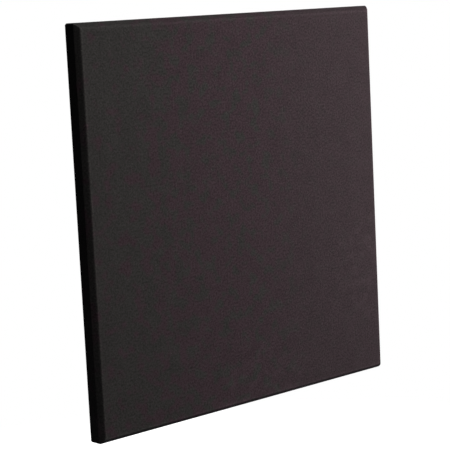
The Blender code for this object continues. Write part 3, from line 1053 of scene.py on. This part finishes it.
def cut_offsets():
    """Where the cuts need lines, measured from a clip's middle: across, and up."""
    slot_sides = [SLOT_NEAR, SLOT_FAR]
    square = POCKET_SQUARE * np.array((-1, -0.5, 0, 0.5, 1))
    across = np.concatenate([slot_sides, np.negative(slot_sides), square])
    slot_ends = (BARB_HEIGHTS[:, None] + SLOT_HALF_HEIGHT * np.array((-1, 1))).ravel()
    up = np.concatenate([slot_ends, (SCREW_HEIGHTS[:, None] + square).ravel()])
    return across, up


def lies_in_cut(x, z):
    """True where a face's middle lies in a slot or in the square round a screw."""
    clip_x = CLIP_CENTRES[(x > 0).astype(int)]
    clip_z = CLIP_CENTRES[(z > 0).astype(int)]
    from_side = np.abs(x - clip_x)
    from_barb = np.abs((z - clip_z)[..., None] - BARB_HEIGHTS).min(axis=-1)
    from_screw = np.abs((z - clip_z)[..., None] - SCREW_HEIGHTS).min(axis=-1)
    in_slot = (from_side > SLOT_NEAR) & (from_side < SLOT_FAR) & (from_barb < SLOT_HALF_HEIGHT)
    return in_slot | ((from_side < POCKET_SQUARE) & (from_screw < POCKET_SQUARE))


def square_lines(lines, middle):
    """The numbers of the two lines at the sides of a screw's square. A hair less meets each line itself."""
    return np.searchsorted(lines, middle + POCKET_SQUARE * np.array((-1, 1)) - HAIR)


def border_numbers(number, first_row, last_row, first_column, last_column):
    """The numbers of the grid's points round a rectangle of it, in order."""
    block = number[first_row : last_row + 1, first_column : last_column + 1]
    return np.concatenate([block[:-1, 0], block[-1, :-1], block[:0:-1, -1], block[0, :0:-1]])


def make_back_tissue(material):
    """A grid with its cuts left out, and round each screw a ring: centre + radius x unit spoke."""
    across, up = cut_offsets()
    half = HALF_WIDTH - BOARD_SUNK - BOARD_EDGE_RADIUS
    lines_x = lines_with_cuts(half, across)
    lines_z = lines_with_cuts(half, up)
    x, z = np.meshgrid(lines_x, lines_z, indexing="ij")
    points = np.stack([x, np.full(x.shape, tissue_high.y), z], axis=-1).reshape(-1, 3)
    quads = grid_quads(len(lines_x), len(lines_z), turned=True)
    middles = points[quads].mean(axis=1)
    faces = quads[~lies_in_cut(middles[:, 0], middles[:, 2])].tolist()

    number = np.arange(x.size).reshape(x.shape)
    for clip_x in CLIP_CENTRES:
        for screw_z in (CLIP_CENTRES[:, None] + SCREW_HEIGHTS).ravel():
            outer = border_numbers(number, *square_lines(lines_x, clip_x), *square_lines(lines_z, screw_z))
            centre = np.array((clip_x, tissue_high.y, screw_z))
            spokes = points[outer] - centre
            rim = centre + POCKET_RADIUS * spokes / np.linalg.norm(spokes, axis=1, keepdims=True)
            inner = len(points) + np.arange(len(outer))
            points = np.concatenate([points, rim])
            faces += ring_quads(np.stack([outer, inner]))[0].tolist()
    tissue = make_piece("back_tissue", material, points, faces, lying_flat(points, faces))
    dress_tissue(tissue, "back_facing")
    print("back tissue:", len(points), "points,", len(faces), "faces")


make_back_tissue(tissue_material)

# %% [markdown]
# The board keeps its own solid from the frame, and only its finish is new. Glass wool is laid down in
# thin mats, so its golden fibres run mostly along the board, in wavy layers from front to back, with a
# crumb of binder here and there. The pattern reads Object coordinates, which is where a solid's own
# grain belongs: it runs on unbroken through every face and slot.

# %% Glass-wool material
WOOL_COLOUR = (0.56, 0.42, 0.16, 1.0)
WOOL_DARK = (0.34, 0.23, 0.07, 1.0)
BINDER_COLOUR = (0.30, 0.16, 0.05, 1.0)
WOOL_STRANDS = (0.0008, 4.0, (9, 1, 9))
WOOL_LAYERS = (0.0016, 2.0, (30, 1, 30))
BINDER_CRUMBS = (0.002, 0.70, 0.76)
WOOL_BUMP = 0.0004


def make_wool_material():
    material, tree = empty_material("glass_wool")
    place = object_place(tree)
    strands = noise(tree, place, *WOOL_STRANDS)
    layers = noise(tree, place, *WOOL_LAYERS)
    height = spread(tree, math_node(tree, "ADD", strands, layers), 0.0, 1.0)
    light = spread(tree, product(tree, strands, layers, 2.0), 0.0, 1.0)
    wool = blend_colours(tree, light, WOOL_DARK, WOOL_COLOUR)
    finish_material(
        tree, height, 0.8, WOOL_BUMP,
        base_color=blend_colours(tree, flecks(tree, place, *BINDER_CRUMBS), wool, BINDER_COLOUR),
        roughness=spread(tree, strands, 0.8, 0.95),
        specular_ior_level=0.25, sheen_weight=0.1, sheen_roughness=0.4,
    )
    return material


def give_material(node, material):
    """Put a finish in the one material slot of a solid that comes with the frame."""
    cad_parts[node].material_slots[0].material = material


give_material("core_board", make_wool_material())
print("the board has its wool")

# %% [markdown]
# The clips are stamped from galvanised sheet. Zinc freezes on steel in flat crystals, each of which
# mirrors a little differently: that is the spangle. A Voronoi texture gives each crystal its own shade
# and roughness. Handling adds a few scratches, and the press leaves the edges slightly rolled over,
# which a very small Bevel modifier gives to the frame's own solids once their loose triangles are
# welded together.

# %% Galvanised clips
ZINC_COLOUR = (0.48, 0.49, 0.50, 1.0)
ZINC_DARK = (0.33, 0.35, 0.37, 1.0)
SPANGLE_SIZE = 0.007
SPANGLE_SWIRL = (0.006, 0.004)
SCRATCHES = (0.0003, 0.5, 60)
STAIN = (0.015, 4.0)
ZINC_BUMP = 0.00003
ROLLED_EDGE = 0.00012
ROLLED_STEPS = 2
ROLLED_ANGLE = math.radians(50)
WELD_REACH = 0.00001


def make_galvanised_material():
    material, tree = empty_material("galvanised_steel")
    place = object_place(tree)
    bent = wandering(tree, place, *SPANGLE_SWIRL)
    crystals = add_node(tree, "TexVoronoi", {"Vector": bent, "Scale": 1 / SPANGLE_SIZE, "Randomness": 1.0})
    shade = add_node(tree, "SeparateXYZ", {0: crystals.outputs["Color"]}).outputs[0]
    scratches = fibres(tree, place, *SCRATCHES)
    stain = noise(tree, place, *STAIN)
    colour = blend_colours(tree, shade, ZINC_DARK, ZINC_COLOUR)
    crystal_roughness = math_node(tree, "MULTIPLY_ADD", shade, 0.16, 0.30)
    finish_material(
        tree, math_node(tree, "SUBTRACT", shade, scratches), 0.25, ZINC_BUMP,
        base_color=toned(tree, colour, spread(tree, stain, 0.92, 1.04)), metallic=1.0,
        roughness=math_node(tree, "ADD", crystal_roughness, spread(tree, stain, -0.05, 0.08)),
    )
    return material


galvanised = make_galvanised_material()
clip_nodes = sorted(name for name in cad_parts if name.startswith("clip_"))
for node in clip_nodes:
    give_material(node, galvanised)
    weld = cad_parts[node].modifiers.new("weld", "WELD")
    weld.merge_threshold = WELD_REACH
    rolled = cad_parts[node].modifiers.new("rolled_edge", "BEVEL")
    rolled.width = ROLLED_EDGE
    rolled.segments = ROLLED_STEPS
    rolled.limit_method = "ANGLE"
    rolled.angle_limit = ROLLED_ANGLE
print("clips:", clip_nodes)

# %% [markdown]
# Each clip is held by two pan-head screws. The whole screw is one surface of two parameters: the angle
# round it, and the way down it, from the middle of the cross recess over the head and down the shank
# to the point. A Screw modifier could sweep the thread, but a thread that fades into the point is
# easier as a formula: the radius is the core's, plus a tooth whose place shifts by one pitch for each
# turn.

# %% Shape of a screw
SCREW_ANGLES = 24
HEAD_HEIGHT = 0.0026
HEAD_SIDE = 0.0009
CROWN_RADIUS = 0.0028
RECESS_HALF_SPAN = 0.0022
RECESS_HALF_WIDTH = 0.00059
RECESS_DEPTH = 0.0017
RECESS_FLOOR = 0.6
THREAD_PITCH = 0.0014
THREAD_RADIUS = 0.0021
CORE_RADIUS = 0.0015
THREAD_ROWS = 12
POINT_LENGTH = 0.006
POINT_RADIUS = 0.0002
SEAT_EDGE = 0.0001
CROWN_STEPS = 5
TOOTH_TOP = 1.15
TOOTH_SLOPE = 0.24
ALMOST_ZERO = 1e-9


def cross_reach(angle):
    """How far a cross reaches at an angle: the further of two bars, each half span by half width."""
    level, upright = np.maximum(np.abs(direction(angle)), ALMOST_ZERO).T
    flat_bar = np.minimum(RECESS_HALF_SPAN / level, RECESS_HALF_WIDTH / upright)
    tall_bar = np.minimum(RECESS_HALF_WIDTH / level, RECESS_HALF_SPAN / upright)
    return np.maximum(flat_bar, tall_bar)


def head_rows(angle, head_radius):
    """Radius and depth below the crown: recess floor, recess rim, crown, quarter ellipse, side, seat."""
    reach = cross_reach(angle)
    around = np.ones(angle.size)
    turn = np.linspace(0, math.pi / 2, CROWN_STEPS + 1)
    crown = CROWN_RADIUS + (head_radius - CROWN_RADIUS) * np.sin(turn)
    fall = (HEAD_HEIGHT - HEAD_SIDE) * (1 - np.cos(turn))
    radii = [RECESS_FLOOR * reach, reach, *np.outer(crown, around)]
    radii += [head_radius * around, (head_radius - SEAT_EDGE) * around, THREAD_RADIUS * around]
    depths = [RECESS_DEPTH, 0, *fall, HEAD_HEIGHT - SEAT_EDGE, HEAD_HEIGHT, HEAD_HEIGHT]
    return np.array(radii), np.outer(depths, around)


def thread_rows(angle, length):
    """Radius, depth below the seat, and tooth. Radius = core + crest x tooth, both drawn in at the point.

    The crest is measured from the core. The tooth is a ridge of the share of
    (depth / pitch - angle / full turn) that is left over.
    """
    down = np.arange(0.5, length / THREAD_PITCH * THREAD_ROWS) * THREAD_PITCH / THREAD_ROWS
    depth = np.outer(down, np.ones(angle.size))
    turns = depth / THREAD_PITCH - angle / (2 * math.pi)
    tooth = np.clip(TOOTH_TOP - np.abs(turns % 1 - 0.5) / TOOTH_SLOPE, 0, 1)
    to_point = np.clip((depth - length + POINT_LENGTH) / POINT_LENGTH, 0, 1)
    start = np.clip(depth / THREAD_PITCH, 0, 1)
    core = CORE_RADIUS + (POINT_RADIUS - CORE_RADIUS) * to_point
    crest = (THREAD_RADIUS - CORE_RADIUS) * (1 - to_point) * start
    return core + crest * tooth, depth, tooth


def closed_faces(rows, columns):
    """Quads between rings, and a fan to a pole at each end. The two poles are numbered last."""
    number = np.arange(rows * columns).reshape(rows, columns)
    after = np.roll(number, -1, axis=1)
    first_fan = np.stack([np.full(columns, number.size), number[0], after[0]], axis=-1)
    last_fan = np.stack([np.full(columns, number.size + 1), after[-1], number[-1]], axis=-1)
    return [*ring_quads(number).reshape(-1, 4).tolist(), *first_fan.tolist(), *last_fan.tolist()]


print(f"thread pitch {1000 * THREAD_PITCH:.1f} mm, recess {2000 * RECESS_HALF_SPAN:.1f} mm across")

# %% [markdown]
# The screws are zinc plated and passivated, which leaves a faint yellow that varies from spot to spot.
# Dirt and shade gather at the root of the thread, so the surface carries how deep it lies there as an
# attribute, and the material darkens by it.

# %% Plated screws
PLATED_COLOUR = (0.64, 0.60, 0.48, 1.0)
PLATED_WARM = (0.62, 0.50, 0.30, 1.0)
PLATED_BLOTCHES = (0.003, 3.0)
PLATED_GRAIN = (0.0002, 2.0, (1, 5, 1))
PLATED_BUMP = 0.00002
ROOT_DARKER = -0.45
ROOT_ROUGHER = 0.2
SCREW_SHARP = math.radians(38)


def make_plated_material():
    material, tree = empty_material("plated_steel")
    place = object_place(tree)
    blotches = noise(tree, place, *PLATED_BLOTCHES)
    root = carried(tree, "thread_root")
    colour = blend_colours(tree, spread(tree, blotches, 0.0, 0.8), PLATED_COLOUR, PLATED_WARM)
    rougher = math_node(tree, "MULTIPLY", root, ROOT_ROUGHER)
    finish_material(
        tree, noise(tree, place, *PLATED_GRAIN), 0.15, PLATED_BUMP,
        base_color=toned(tree, colour, math_node(tree, "MULTIPLY_ADD", root, ROOT_DARKER, 1.0)),
        metallic=1.0, roughness=math_node(tree, "ADD", spread(tree, blotches, 0.26, 0.40), rougher),
    )
    return material


def make_screw(node, material):
    """The screw's rings are turned about the axis of the solid that it replaces, from crown to point."""
    low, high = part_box(node)
    axis_x = (low.x + high.x) / 2
    axis_z = (low.z + high.z) / 2
    angle = even_angles(SCREW_ANGLES)
    head_radius, head_depth = head_rows(angle, (high.x - low.x) / 2)
    thread_radius, thread_depth, tooth = thread_rows(angle, high.y - low.y - HEAD_HEIGHT)
    radius = np.concatenate([head_radius, thread_radius])
    depth = np.concatenate([head_depth, HEAD_HEIGHT + thread_depth])
    rings = np.stack(
        [axis_x + radius * np.cos(angle), low.y + depth, axis_z + radius * np.sin(angle)], axis=-1
    ).reshape(-1, 3)
    poles = [(axis_x, low.y + RECESS_DEPTH, axis_z), (axis_x, high.y, axis_z)]
    points = np.concatenate([rings, poles])
    screw = make_piece(f"{node}_threaded", material, points, closed_faces(*radius.shape))
    screw.data.set_sharp_from_angle(angle=SCREW_SHARP)
    carry(screw, "thread_root", np.concatenate([np.zeros(head_radius.size), (1 - tooth).ravel(), (0, 0)]))
    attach(screw, "wall_hardware")
    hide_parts(node)
    return screw


plated = make_plated_material()
screw_nodes = sorted(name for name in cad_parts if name.startswith("screw_"))
screws = [make_screw(node, plated) for node in screw_nodes]
print(len(screws), "screws of", len(screws[0].data.polygons), "faces")

# %% [markdown]
# Last, the box round the solids is printed: it was kept right after loading. A number beats trusting the
# eye here, because a tenth of a millimetre shows in no picture.

# %% The box round the solids
print("cad box", [round(v, 4) for v in (*cad_low, *cad_high)])
